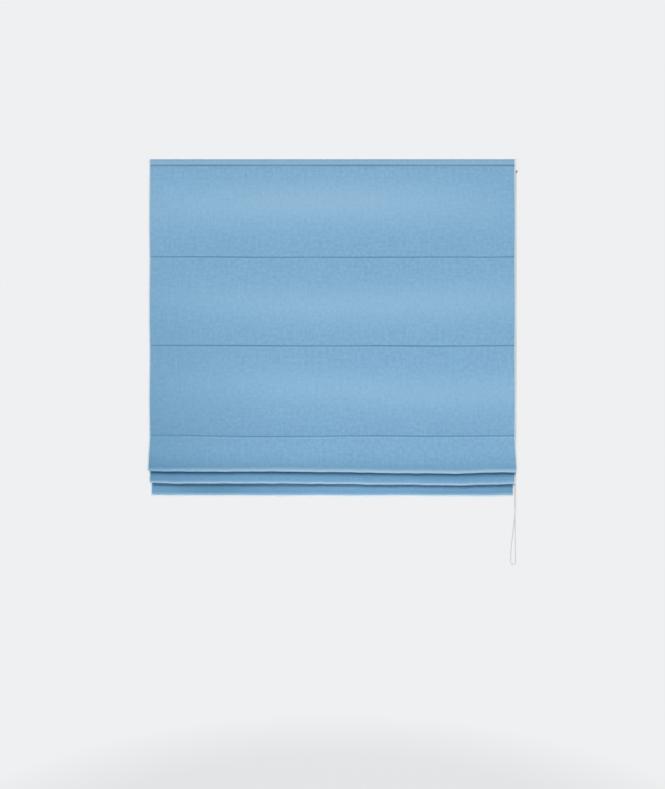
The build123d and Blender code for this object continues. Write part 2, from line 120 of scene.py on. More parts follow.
class Nodes:
    """Small helper that adds nodes to a material or a world and links them."""

    def __init__(self, owner):
        self.owner = owner
        owner.use_nodes = True
        self.tree = owner.node_tree
        self.shader = self.tree.nodes.get("Principled BSDF")

    def put(self, inputs, values):
        """Gives each input a number, a colour or what another node puts out."""
        for key, value in values.items():
            if isinstance(value, bpy.types.NodeSocket):
                self.tree.links.new(value, inputs[key])
            else:
                inputs[key].default_value = value

    def add(self, kind, values=None, **settings):
        node = self.tree.nodes.new(kind)
        for key, value in settings.items():
            setattr(node, key, value)
        self.put(node.inputs, values or {})
        return node

    def math(self, operation, a, b=0.0):
        return self.add("ShaderNodeMath", {0: a, 1: b}, operation=operation).outputs[0]

    def mix(self, factor, a, b):
        a, b = (c + (1,) if isinstance(c, tuple) else c for c in (a, b))
        return self.add("ShaderNodeMix", {"Factor": factor, 6: a, 7: b}, data_type="RGBA").outputs[2]

    def noise(self, vector, scale, detail=2.0, roughness=0.5):
        values = {"Vector": vector, "Scale": scale, "Detail": detail, "Roughness": roughness}
        return self.add("ShaderNodeTexNoise", values).outputs[0]

    def painted(self, name):
        return self.add("ShaderNodeAttribute", attribute_name=name).outputs["Fac"]

    def stretched(self, vector, scale):
        return self.add("ShaderNodeVectorMath", {0: vector, 1: scale}, operation="MULTIPLY").outputs[0]

    def scaled(self, vector, factor):
        return self.add("ShaderNodeVectorMath", {0: vector, "Scale": factor}, operation="SCALE").outputs[0]

    def ramp(self, value, low, high):
        values = {"Value": value, "From Min": low, "From Max": high}
        return self.add("ShaderNodeMapRange", values).outputs[0]

    def bump(self, height, strength, distance):
        values = {"Height": height, "Strength": strength, "Distance": distance}
        self.put(self.shader.inputs, {"Normal": self.add("ShaderNodeBump", values).outputs[0]})

    def seen(self):
        """One for what is looked at, also in gloss and through clear things."""
        rays = self.add("ShaderNodeLightPath").outputs
        mirrored = self.math("MAXIMUM", rays["Is Glossy Ray"], rays["Is Transmission Ray"])
        return self.math("MAXIMUM", rays["Is Camera Ray"], mirrored)

    def join(self, factor, a, b, end):
        node = self.add("ShaderNodeMixShader", {0: factor, 1: a, 2: b})
        self.put(self.tree.nodes[end].inputs, {"Surface": node.outputs[0]})


# Scales of slubs, threads, clouds and patches in the cloth, and how strongly each mark, painted highlight
# and painted shade on it shows
SLUB_SCALE = 14.0
THREAD_SCALE = 520.0
CLOUD_SCALE = 3.2
CLOUD_DEPTH = 0.91
CLOUD_MIX = 0.25
PATCH_SCALE = 95.0
THREAD_RANGE = (0.72, 1.28)
CLOUD_RANGE = (0.3, 0.7)
PATCH_RANGE = (0.34, 0.66)
HIGHLIGHT_MIX = 0.85
HIGHLIGHT_COLOUR_MIX = 0.5
PAINTED_SHADE_MIX = 0.40
EDGE_LIGHT_MIX = 0.8
SEAM_MIX = 0.92
WEAVE_SHARE = 0.35
WEAVE_RISE = 0.0005


def cloth_material(name, colour, dark, pale, thread_mm, slub, roughness, sheen, bump, patchy=0.05,
                   seam=None, highlight_colour=None, edge_light_colour=None):
    """Plain weave: warp and weft ridges, uneven threads and slow changes of shade."""
    n = Nodes(bpy.data.materials.new(name))
    uv = n.add("ShaderNodeUVMap", uv_map="cloth").outputs[0]
    split = n.add("ShaderNodeSeparateXYZ", {0: uv})
    turns = 2 * math.pi / (thread_mm * MM)
    warp = n.math("SINE", n.math("MULTIPLY", split.outputs[0], turns))
    weft = n.math("SINE", n.math("MULTIPLY", split.outputs[1], turns))
    weave = n.math("MULTIPLY", warp, weft)
    across = n.noise(n.stretched(uv, (SLUB_SCALE, THREAD_SCALE, 1.0)), 1.0)
    along = n.noise(n.stretched(uv, (THREAD_SCALE, SLUB_SCALE, 1.0)), 1.0)
    threads = n.math("ADD", across, along)
    shade = n.ramp(threads, *THREAD_RANGE)
    body = n.mix(shade, dark, pale)
    slow = n.ramp(n.noise(uv, CLOUD_SCALE), *CLOUD_RANGE)
    tone = n.mix(slub, colour, body)
    deeper = tuple(c * CLOUD_DEPTH for c in colour)
    tone = n.mix(n.math("MULTIPLY", slow, CLOUD_MIX), tone, deeper)
    patches = n.ramp(n.noise(uv, PATCH_SCALE, detail=3.0, roughness=0.6), *PATCH_RANGE)
    level = n.math("ADD", n.math("MULTIPLY", patches, patchy), 1 - patchy / 2)
    tone = n.scaled(tone, level)
    # Painted light and shade read from the points: a highlight, shade, light along edges and shade along
    # the stitched lines
    if seam:
        tone = n.mix(n.math("MULTIPLY", n.painted("painted_highlight"), HIGHLIGHT_MIX), tone, n.mix(HIGHLIGHT_COLOUR_MIX, highlight_colour, tone))
        tone = n.mix(n.math("MULTIPLY", n.painted("painted_shade"), PAINTED_SHADE_MIX), tone, seam)
        tone = n.mix(n.painted("painted_edge_light"), tone, n.mix(EDGE_LIGHT_MIX, tone, edge_light_colour))
        tone = n.mix(n.math("MULTIPLY", n.painted("seam_shade"), SEAM_MIX), tone, seam)
    height = n.math("ADD", n.math("MULTIPLY", weave, WEAVE_SHARE), threads)
    n.bump(height, bump, WEAVE_RISE)
    n.put(n.shader.inputs, {"Base Color": tone, "Roughness": roughness, "Sheen Weight": sheen,
                            "Sheen Roughness": 0.5, "Specular IOR Level": 0.25})
    return n.owner


SHADE_SCALE = 9.0
SHADE_DEPTH = 0.965
ROUGH_SPREAD = 0.16
GRAIN_RISE = 0.0003


def solid_material(name, colour, roughness, grain, grain_scale, metallic=0.0, coat=0.0,
                   stretch=(1.0, 1.0, 1.0)):
    """Moulded, painted or drawn surface with a fine grain and a little unevenness."""
    n = Nodes(bpy.data.materials.new(name))
    place = n.add("ShaderNodeTexCoord").outputs["Object"]
    fine = n.noise(n.stretched(place, tuple(grain_scale * s for s in stretch)), 1.0, 3.0)
    slow = n.noise(place, SHADE_SCALE, 1.0)
    deeper = tuple(c * SHADE_DEPTH for c in colour)
    tone = n.mix(n.ramp(slow, *CLOUD_RANGE), colour, deeper)
    rough = n.math("ADD", n.math("MULTIPLY", fine, ROUGH_SPREAD), roughness - ROUGH_SPREAD / 2)
    n.bump(fine, grain, GRAIN_RISE)
    n.put(n.shader.inputs, {"Base Color": tone, "Roughness": rough, "Metallic": metallic,
                            "Coat Weight": coat})
    return n.owner


# Cloths: colour, dark and pale threads, then thread width, slubs, roughness, sheen and bump
# The face cloth's last three colours serve painted light: the dark one for painted shade, the pale ones
# for the painted highlight and the painted light along edges
FACE = cloth_material("woven_blue", (0.200, 0.400, 0.600), (0.172, 0.358, 0.548), (0.230, 0.440, 0.645),
                      0.9, 0.75, 0.86, 0.22, 0.35, patchy=0.155,
                      seam=(0.10, 0.25, 0.40), highlight_colour=(0.34, 0.55, 0.73), edge_light_colour=(0.300, 0.456, 0.575))
# The lining's grey-blue is partly its own colour and partly painted shade.
LINING = cloth_material("lining_pale", (0.60, 0.66, 0.70), (0.56, 0.62, 0.66), (0.65, 0.71, 0.75),
                        0.6, 0.6, 0.8, 0.12, 0.2)
# The border's blue tint is painted light: the blue face cloth's reflection on it.
LINING_EDGE = cloth_material("lining_border", (0.50, 0.65, 0.76), (0.46, 0.61, 0.72), (0.54, 0.70, 0.81),
                             0.6, 0.6, 0.8, 0.12, 0.2)
# The thread is darker than the face cloth, partly its own colour and partly painted shade for the groove
# it lies in.
THREAD = cloth_material("stitch_thread", (0.155, 0.325, 0.480), (0.13, 0.28, 0.43), (0.19, 0.37, 0.53),
                        0.25, 0.7, 0.7, 0.1, 0.3)
CORD = cloth_material("cord_braid", (0.80, 0.80, 0.78), (0.72, 0.72, 0.70), (0.86, 0.86, 0.84),
                      0.5, 0.8, 0.7, 0.1, 0.5)
TAPE = cloth_material("hook_loop_tape", (0.80, 0.80, 0.79), (0.72, 0.72, 0.71), (0.85, 0.85, 0.84),
                      0.7, 0.8, 0.9, 0.3, 0.8)
# Solids: colour, roughness, grain and its scale
RAIL = solid_material("powder_coat_white", (0.80, 0.80, 0.79), 0.42, 0.12, 2600.0)
BRACKET = solid_material("enamel_white", (0.72, 0.72, 0.71), 0.34, 0.06, 1400.0, coat=0.2)
MOULDED = solid_material("moulded_white", (0.80, 0.80, 0.78), 0.46, 0.08, 3200.0)
BEAD = solid_material("bead_pale_grey", (0.50, 0.51, 0.52), 0.30, 0.04, 2400.0, coat=0.1)
GLASS_ROD = solid_material("rod_glass_fibre", (0.74, 0.72, 0.62), 0.5, 0.2, 900.0,
                           stretch=(0.02, 1.0, 1.0))
ALUMINIUM = solid_material("drawn_aluminium", (0.77, 0.78, 0.79), 0.36, 0.1, 1800.0, metallic=1.0,
                           stretch=(0.01, 1.0, 1.0))
SPRING = solid_material("spring_wire", (0.55, 0.55, 0.56), 0.3, 0.1, 2200.0, metallic=1.0,
                        stretch=(1.0, 0.1, 0.1))


# Cloth

def ease(t):
    """Smooth rise from zero to one."""
    return t * t * (3 - 2 * t)


def hump(distance, width):
    """One in the middle, and falling off at both sides."""
    return math.exp(-(distance / width) ** 2)


HEAD_ROWS = 8
PANEL_BULGE = 7.0
BULGE_LOW = 1.4
NEAR_SEAM = (0.0, 0.45, 0.9, 1.4, 2.0, 2.8, 3.8, 5.2, 7.2, 10.0)
PANEL_STEP = 5.2
FOLD_ROUND = 5.8
CREST_ROUND = 3.2
LEAD_ROUND = 12.0
RUN_STEP = 4.5
ROUND_STEP = 0.16
COLUMN_STEP = 7.0
EDGE_COLUMNS = (0.35, 1.2, 3.0)


def panel_rows(top, bottom):
    """Points of one hanging panel from seam to seam; it falls straight, swells and turns under."""
    drop = top - bottom
    middle = np.arange(NEAR_SEAM[-1], drop - NEAR_SEAM[-1], PANEL_STEP)
    down = list(NEAR_SEAM) + list(middle[1:]) + [drop - d for d in reversed(NEAR_SEAM)]
    rows = []
    for d in down:
        swell = math.sin(math.pi * (d / drop) ** BULGE_LOW)
        rows.append((-PANEL_BULGE * max(swell, 0.0), top - d))
    return rows


# Corners (depth, height, round) of the folded stack below the last seam
STACK = [(0.0, SEAMS[2], 0)]
for (y, z), width, bend in ((FOLD_1, FOLD_GAP, FOLD_ROUND), (CREST_4, CREST_WIDTH, CREST_ROUND),
                            (FOLD_2, FOLD_GAP, FOLD_ROUND), (CREST_5, CREST_WIDTH, CREST_ROUND)):
    STACK += [(y, z, bend), (y + width, z, bend)]
STACK += [(HEM_LEAD[0], HEM_LEAD[1], LEAD_ROUND), (HEM_LEAD[0], HEM_TOP, 0)]


def even_count(length, step):
    return max(2, 2 * math.ceil(length / (2 * step)))


def stack_line(points):
    """Adds the stack's runs and rounds to the points; gives the index of each run's middle."""
    corners = [np.array((y, z), float) for y, z, _ in STACK]
    rounds = [r for _, _, r in STACK]
    run_at = {}
    for i in range(1, len(corners)):
        before = corners[i] - corners[i - 1]
        before = before / np.linalg.norm(before)
        turn = 0.0
        if rounds[i] > 0:
            after = corners[i + 1] - corners[i]
            after = after / np.linalg.norm(after)
            cross = before[0] * after[1] - before[1] * after[0]
            turn = math.atan2(cross, float(before @ after))
        start = np.array(points[-1])
        end = corners[i] - before * rounds[i] * math.tan(abs(turn) / 2)
        if i == 1:
            for d in NEAR_SEAM[1:]:
                points.append(tuple(start + before * d))
            start = np.array(points[-1])
        count = even_count(float(np.linalg.norm(end - start)), RUN_STEP)
        run_at[i] = len(points) - 1 + count // 2
        for k in range(1, count + 1):
            points.append(tuple(start + (end - start) * k / count))
        if turn == 0.0:
            continue
        normal = np.array([-before[1], before[0]]) * math.copysign(1.0, turn)
        centre = end + normal * rounds[i]
        arm = end - centre
        count = even_count(abs(turn), ROUND_STEP)
        for k in range(1, count + 1):
            a = turn * k / count
            points.append((centre[0] + arm[0] * math.cos(a) - arm[1] * math.sin(a),
                           centre[1] + arm[0] * math.sin(a) + arm[1] * math.cos(a)))
    return run_at


def whole_line():
    """Points (depth, height) of the cloth from top to hem, its stitched lines and the runs' middles."""
    points = []
    head = list(np.linspace(0, TOP - TAPE_LINE - NEAR_SEAM[-1], HEAD_ROWS))
    head += [TOP - TAPE_LINE - d for d in reversed(NEAR_SEAM[:-1])]
    for d in head:
        points.append((0.0, TOP - d))
    cuts = [len(points) - 1]
    top = TAPE_LINE
    for seam in SEAMS:
        points += panel_rows(top, seam)[1:]
        cuts.append(len(points) - 1)
        top = seam
    run_at = stack_line(points)
    return np.array(points), cuts, run_at


LINE, CUTS, RUN_AT = whole_line()
CUT_TAPE = CUTS[0]
CUT_SEAMS = CUTS[1:]
CUT_FOLD_1 = RUN_AT[2]
CUT_CREST_4 = RUN_AT[4]
CUT_FOLD_2 = RUN_AT[6]
CUT_CREST_5 = RUN_AT[8]
CUT_HEM = len(LINE) - 1
STEPS = np.linalg.norm(np.diff(LINE, axis=0), axis=1)
ALONG = np.concatenate([[0.0], np.cumsum(STEPS)])
TANGENT = np.gradient(LINE, ALONG, axis=0)
for index in CUTS:
    TANGENT[index] = (0.0, -1.0)
TANGENT /= np.linalg.norm(TANGENT, axis=1)[:, None]
OUTWARD = np.stack([TANGENT[:, 1], -TANGENT[:, 0]], axis=1)

# Stitched lines draw the face cloth in, and it rolls a little at each side of them
GROOVE_DEPTH = 0.62
GROOVE_WIDTH = 1.0
ROLL = 0.55
ROLL_AT = 3.4
ROLL_WIDTH = 1.8
# Painted shade along each stitched line, and a painted highlight just below it
SHADE_WIDTHS = (2.7, 1.9, 2.4, 1.9)
SEAM_PALE = (0.0, 0.2, 0.25, 0.5)
PALE_AT = 4.8
PALE_WIDTH = 2.2
SEAM_REACH = 12.0
SHADE_UNEVEN = 0.14
SHADE_WAVES = (0.013, 0.02)
LAST_LINE_LEFT = 0.35
LAST_LINE_FADE = 170.0


def firm_at(x, number):
    """How plainly a stitched line shows: the last one fades out at the left edge."""
    if number < len(CUTS) - 1:
        return 1.0
    t = min((x + FACE_HALF) / LAST_LINE_FADE, 1.0)
    return LAST_LINE_LEFT + (1 - LAST_LINE_LEFT) * ease(t)


def seam_near(x, index):
    """Distance below the nearest stitched line, along the cloth, and the number of that line."""
    number = min(range(len(CUTS)), key=lambda k: abs(ALONG[index] - ALONG[CUTS[k]]))
    return ALONG[index] - ALONG[CUTS[number]] + smooth_from(LINE_SAGS[number], x), number


def groove_at(x, index):
    """How far the stitched lines draw the face in or roll it out here."""
    near = abs(seam_near(x, index)[0])
    if near > SEAM_REACH:
        return 0.0
    dip = GROOVE_DEPTH * hump(near, GROOVE_WIDTH)
    return ROLL * hump(near - ROLL_AT, ROLL_WIDTH) - dip


def seam_shade_at(x, index):
    """Painted shade along the stitched lines: how dark they are here."""
    near, number = seam_near(x, index)
    if abs(near) > SEAM_REACH:
        return 0.0
    uneven = 1 - SHADE_UNEVEN + SHADE_UNEVEN * math.sin(x * SHADE_WAVES[0] + ALONG[index] * SHADE_WAVES[1])
    return math.exp(-(near / SHADE_WIDTHS[number]) ** 4) * uneven * firm_at(x, number)


# How far each fold hangs below its mean line, from the left edge to the right
FOLD_1_SAG = [2.5, 1.2, 0.9, 1.2, 1.3, 1.2, -0.2, -0.9, -2.3, -4.1, -4.2, -5.0, -2.0, -1.2]
FOLD_2_SAG = [2.4, 0.3, 0.2, 0.8, 0.5, 0.2, -0.5, -0.9, -2.9, -2.3, -4.5, -5.0, -2.8, -1.4]
HEM_SAG = [1.0, 0.8, 0.6, 0.8, 0.0, -0.1, 0.8, -0.1, -0.2, 0.3, -0.5, -0.5, -0.9, 0.8]
SEAM_SAGS = ([-0.6, 0.0, -0.3, -0.9, -1.5, -1.5, -1.2, -1.6, -1.2, -1.2, -0.9, -0.9, -1.2, -0.6],
             [2.4, 2.6, 2.5, 2.4, 1.9, 1.5, 1.2, 1.5, 1.9, 1.5, 0.6, 0.6, 1.5, 2.2],
             [0.0, 0.0])
THIRD_LINE = [0.7, 1.0, -0.5, -2.1, -2.4, -2.2, -2.2, -0.7, -0.3, -0.9, -1.5, -1.2, -0.9, -0.3]
HEAD_LINE = [1.8, 1.8]
LINE_SAGS = (HEAD_LINE, [0.0, 0.0], [0.0, 0.0], THIRD_LINE)
STITCH_SAGS = SEAM_SAGS[:2] + (THIRD_LINE,)


def smooth_from(values, x):
    """Smooth value at x from a list that is spread evenly over the cloth's width."""
    t = (x + FACE_HALF) / (2 * FACE_HALF) * (len(values) - 1)
    t = min(max(t, 0.0), len(values) - 1.0)
    i = min(int(t), len(values) - 2)
    f = ease(t - i)
    return values[i] * (1 - f) + values[i + 1] * f


CRIMP = 0.5
FINE_CRIMP = 0.25
CRIMP_WAVES = (0.047, 0.019, 0.11)
CRIMP_STARTS = (0.7, 1.9)
RIPPLE = 0.34


def crimp(x, start):
    """Small unevenness along a pressed fold."""
    wave, slow, fine = CRIMP_WAVES
    broad = CRIMP * math.sin(x * wave + start) * math.sin(x * slow + 2 * start)
    return broad + FINE_CRIMP * math.sin(x * fine + 3 * start)


WAVES = [(rng.uniform(0.004, 0.016), rng.uniform(0, 6.28), rng.uniform(0.003, 0.02), rng.uniform(0, 6.28),
          rng.uniform(0.3, 1.0)) for _ in range(14)]


def ripple(x, along):
    """Slow unevenness of hanging cloth, in millimetres."""
    total = 0.0
    for fx, px, fz, pz, weight in WAVES:
        total += weight * math.sin(fx * x + px) * math.sin(fz * along + pz)
    return RIPPLE * total


def share_between(index, start, end):
    return (ALONG[index] - ALONG[start]) / (ALONG[end] - ALONG[start])


STACK_CUTS = [CUT_SEAMS[2], CUT_FOLD_1, CUT_CREST_4, CUT_FOLD_2, CUT_CREST_5, CUT_HEM]


def hang(index):
    """How much of each fold's sag, of the hem's and of the panels' ripple reaches this place."""
    sags = [0.0, 0.0, 0.0]
    for k, (a, b) in enumerate(zip(STACK_CUTS, STACK_CUTS[1:])):
        if a < index <= b:
            down = share_between(index, a, b)
            sags[k // 2] = 1 - down if k % 2 else down
    calm = 0.0
    for a, b in zip(CUTS, CUTS[1:]):
        if a < index < b:
            calm = math.sin(math.pi * share_between(index, a, b))
    return sags + [calm]


HANG = [hang(i) for i in range(len(LINE))]


def seam_pull(index):
    """How much of each seam's own line reaches this place: (seam, share) pairs."""
    stops = CUTS + [CUT_FOLD_1]
    for k, (a, b) in enumerate(zip(stops, stops[1:])):
        if a < index <= b:
            down = share_between(index, a, b)
            pairs = [(k - 1, 1 - down), (k, down)]
            return [(seam, share) for seam, share in pairs if 0 <= seam < len(SEAM_SAGS)]
    return []


SEAM_PULL = [seam_pull(i) for i in range(len(LINE))]

# The falls swell a little and turn out in a soft lip at the fold
FALL_SWELL = 4.6
LIP = 1.8
LIP_ROLL = 9.3
LIP_REACH = 3.0


def lip_at(index):
    """How far a fall turns out, greatest where it starts to roll under."""
    for top, fold in ((CUT_SEAMS[2], CUT_FOLD_1), (CUT_CREST_4, CUT_FOLD_2)):
        if top < index <= fold:
            up = ALONG[fold] - ALONG[index]
            if up < LIP_ROLL:
                return ease(up / LIP_ROLL)
            return hump(up - LIP_ROLL, LIP_REACH)
    return 0.0


LIP_SHARE = [lip_at(i) for i in range(len(LINE))]


def first_down(index):
    """Share of the way from the last seam to the first fold, zero elsewhere."""
    if CUT_SEAMS[2] < index < CUT_FOLD_1:
        return share_between(index, CUT_SEAMS[2], CUT_FOLD_1)
    return 0.0


def cloth_point(x, index, off):
    """A point of the cloth, off millimetres towards the room from where its two layers meet."""
    first, second, hem, calm = HANG[index]
    y, z = LINE[index]
    z += first * (smooth_from(FOLD_1_SAG, x) + crimp(x, CRIMP_STARTS[0]))
    z += second * (smooth_from(FOLD_2_SAG, x) + crimp(x, CRIMP_STARTS[1]))
    z += hem * smooth_from(HEM_SAG, x)
    for seam, share in SEAM_PULL[index]:
        z += share * smooth_from(SEAM_SAGS[seam], x)
    y -= FALL_SWELL * math.sin(math.pi * first_down(index) ** 2) + LIP * LIP_SHARE[index]
    bulge = off
    if off > CLOTH / 2:
        bulge += groove_at(x, index)
    if calm:
        bulge += calm * ripple(x, ALONG[index])
    out = OUTWARD[index]
    return (x, CLOTH_Y + y + out[0] * bulge, z + out[1] * bulge)


def columns(half, step):
    """Even places across the cloth, with closer ones at its two edges."""
    count = 2 * round(half / step)
    inner = [-half + 2 * half * i / count for i in range(1, count)]
    left = [-half] + [-half + d for d in EDGE_COLUMNS]
    right = [half - d for d in reversed(EDGE_COLUMNS)] + [half]
    return left + inner + right


# Painted highlight bands, one for each panel: middle and width as shares of the drop, lean, strength,
# place across
BANDS = ((0.43, 0.26, 0.02, 1.10, -30.0), (0.51, 0.22, 0.03, 0.88, 120.0), (0.47, 0.21, 0.05, 0.74, 280.0))
BAND_SIDE_LOSS = 0.7
BAND_WAVE = 210.0
BAND_START = 40


def painted_highlight_at(x, index):
    """Painted highlight: a pale band across each panel, less at the sides, and a little under seams."""
    near, number = seam_near(x, index)
    edge = SEAM_PALE[number] * hump(near - PALE_AT, PALE_WIDTH) * firm_at(x, number) ** 2
    for (a, b), (middle, width, lean, strength, place) in zip(zip(CUTS, CUTS[1:]), BANDS):
        if a <= index <= b:
            down = share_between(index, a, b)
            centre = middle + lean * math.sin(x / BAND_WAVE + middle * BAND_START)
            band = hump(down - centre, width)
            side = 1 - BAND_SIDE_LOSS * (abs(x - place) / (FACE_HALF + abs(place))) ** 2
            return strength * band * side + edge
    return edge


def leftward(x):
    """Zero from the middle to the right, rising to one at the left edge."""
    return max(0.0, -x / FACE_HALF) ** 2


# Painted light on the strip above the top stitches and on the lips of the folds: strength, fall-off and
# loss to the left
HEAD_EDGE_LIGHT = 0.7
LIP_EDGE_LIGHT_POWER = 0.6
LIP_LEFT_LOSS = 0.75
LIP_2_AT = 6.5
LIP_2_WIDTH = 3.2
LIP_2_LEFT_LOSS = 0.2


def painted_edge_light_at(x, index):
    """Painted light: pale, greyed highlights on the lips of the folds and on the strip above the top
    stitches.
    """
    if index <= CUT_TAPE:
        return HEAD_EDGE_LIGHT * min(1.0, 2.0 * share_between(index, 0, CUT_TAPE))
    if index < CUT_CREST_4:
        return LIP_SHARE[index] ** LIP_EDGE_LIGHT_POWER * (1 - LIP_LEFT_LOSS * leftward(x))
    if index <= CUT_FOLD_2:
        up = ALONG[CUT_FOLD_2] - ALONG[index]
        return hump(up - LIP_2_AT, LIP_2_WIDTH) * (1 - LIP_2_LEFT_LOSS * leftward(x))
    return 0.0


# Painted shade: how much at the left edge, on the falls, in the crease and on the tail, and its reach
LEFT_SHADE = 1.1
LEFT_SHADE_TOP = -200.0
FALL_SHADE_FROM = 0.35
FALL_SHADE_SPAN = 0.5
FALL_SHADE_POWER = 1.6
FOLDED_SHADE = 0.8
CREASE_SHADOW = 0.9
CREASE_UNEVEN = 0.35
CREASE_WAVES = (0.021, 0.0087)
CREASE_AT = 11.5
CREASE_WIDTH = 5.5
CREASE_REACH = 11.0
TAIL_SHADE = [2.2, 2.0, 0.7, 0.0, 0.4]
TAIL_REACH = 30.0


def crease_shadow(x, below):
    """Painted shadow on the second fall, below millimetres under the first fold."""
    wave, slow = CREASE_WAVES
    uneven = 1 + CREASE_UNEVEN * math.sin(x * wave + 1.0) * math.sin(x * slow + 0.4)
    crease = CREASE_SHADOW * uneven * hump(below - CREASE_AT, CREASE_WIDTH)
    return crease + hump(below, CREASE_REACH)


def painted_shade_at(x, index):
    """Painted shade: at the left and more so lower down, on the folds and in their creases."""
    left = LEFT_SHADE * leftward(x)
    z = LINE[index][1]
    if index <= CUT_SEAMS[2]:
        return left * max(0.0, (z - LEFT_SHADE_TOP) / (SEAMS[2] - LEFT_SHADE_TOP))
    down = first_down(index)
    if down:
        low = max(0.0, min(1.0, (down - FALL_SHADE_FROM) / FALL_SHADE_SPAN)) ** FALL_SHADE_POWER
        return low * (1 - LIP_SHARE[index]) + left
    if CUT_CREST_4 < index <= CUT_FOLD_2:
        below = max(0.0, FOLD_1[1] + smooth_from(FOLD_1_SAG, x) - z)
        return (1 - painted_edge_light_at(x, index)) * (FOLDED_SHADE + left + crease_shadow(x, below))
    if index > CUT_CREST_5:
        up = min(1.0, (ALONG[CUT_HEM] - ALONG[index]) / TAIL_REACH)
        return smooth_from(TAIL_SHADE, x) * (1 - up) + FOLDED_SHADE * up
    return 0.0


def paint(obj, name, values):
    """Gives each point of a piece a value that its material reads by name."""
    layer = obj.data.attributes.new(name, "FLOAT", "POINT")
    layer.data.foreach_set("value", values)


def sheet_piece(name, half, start, end, front, back):
    """Closed piece of cloth between two places on the line, front and back off its middle."""
    xs = columns(half, COLUMN_STEP)
    rows = list(range(start, end + 1))
    places = [(x, i) for i in rows for x in xs]
    points = [cloth_point(x, i, off) for off in (front, back) for x, i in places]
    uvs = [(x * MM, ALONG[i] * MM) for x, i in places] * 2
    obj = grid_object(name, points, uvs, len(rows), len(xs))
    # Painted shade along the stitched lines, then the painted highlight, painted edge light and painted
    # shade
    shade = [seam_shade_at(x, i) for x, i in places]
    paint(obj, "seam_shade", shade + [0.0] * len(shade))
    for mark, value_at in (("painted_highlight", painted_highlight_at), ("painted_edge_light", painted_edge_light_at), ("painted_shade", painted_shade_at)):
        paint(obj, mark, [value_at(x, i) for x, i in places] * 2)
    return obj


def grid_object(name, points, uvs, rows, cols, ring=False):
    """Closed shell from two grids of points, front one first; a ring's last row joins its first."""
    size = rows * cols
    steps = [(r * cols, (r + 1) % rows * cols) for r in range(rows if ring else rows - 1)]
    faces = []
    for here, below in steps:
        for c in range(cols - 1):
            a = here + c
            b = below + c
            faces.append((a, b, b + 1, a + 1))
            faces.append((a + size, a + size + 1, b + size + 1, b + size))
    flat = []
    for c in range(0 if ring else cols - 1):
        for r in (0, rows - 1):
            a = r * cols + c
            quad = (a, a + 1, a + 1 + size, a + size)
            flat.append(len(faces))
            faces.append(quad if r == 0 else quad[::-1])
    for here, below in steps:
        for c in (0, cols - 1):
            quad = (here + c, here + c + size, below + c + size, below + c)
            flat.append(len(faces))
            faces.append(quad if c == 0 else quad[::-1])
    return new_object(name, points, faces, flat, uvs)


LAYER_GAP = 0.04


def dress(kind, half, front, back, material, node):
    """All the stretches of one cloth; each but the two falls hangs on the body that carries its part of
    the blind.
    """

    def stretch(part, start, end, held, carrier, body=None):
        piece = sheet_piece(f"{kind}_{part}", half, start, end, front, back)
        finish_piece(piece, material, body, [node])
        return piece

    stretch("head", 0, CUT_TAPE, "stretched", "loop_tape", "head")
    hung = stretch("hung", CUT_TAPE, CUT_SEAMS[2], "hung", "loop_tape", "head")
    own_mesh(hung)
    fall_1 = stretch("fold_1_front", CUT_SEAMS[2], CUT_FOLD_1, "folded", "rod_3")
    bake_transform(fall_1)
    rise_1 = stretch("fold_1_back", CUT_FOLD_1, CUT_CREST_4, "folded", "rod_4", "fourth_rod")
    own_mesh(rise_1)
    fall_2 = stretch("fold_2_front", CUT_CREST_4, CUT_FOLD_2, "folded", "rod_4")
    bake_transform(fall_2)
    rise_2 = stretch("fold_2_back", CUT_FOLD_2, CUT_CREST_5, "folded", "rod_5", "hem_bar")
    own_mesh(rise_2)
    stretch("tail", CUT_CREST_5, CUT_HEM, "hung", "rod_5", "hem_bar")


dress("face", FACE_HALF, CLOTH, LAYER_GAP, FACE, "face_fabric")
dress("lining", LINING_HALF, -LAYER_GAP, -CLOTH, LINING, "lining")


# Painted shade on the hem, from the left edge to the right: on its lower part and near its top edge
HEM_SHADE = [1.6, 2.4, 1.6, 1.4, 1.4, 2.0, 1.8]
HEM_TOP_SHADE = [1.6, 2.4, 1.6, 0.4, 0.6, 0.1, 1.7]
HEM_ROWS = (7.0, 5.4, 3.8, 2.6)
HEM_ROUND = 1.6
HEM_BENDS = 5


def hem_shade(x, z):
    """Painted shade on the hem, less towards its top edge on the right."""
    up = (z - HEM_BOTTOM - HEM_ROWS[0]) / (HEM_TOP - HEM_BOTTOM - HEM_ROWS[0])
    up = max(0.0, min(1.0, up))
    return smooth_from(HEM_SHADE, x) * (1 - up) + smooth_from(HEM_TOP_SHADE, x) * up


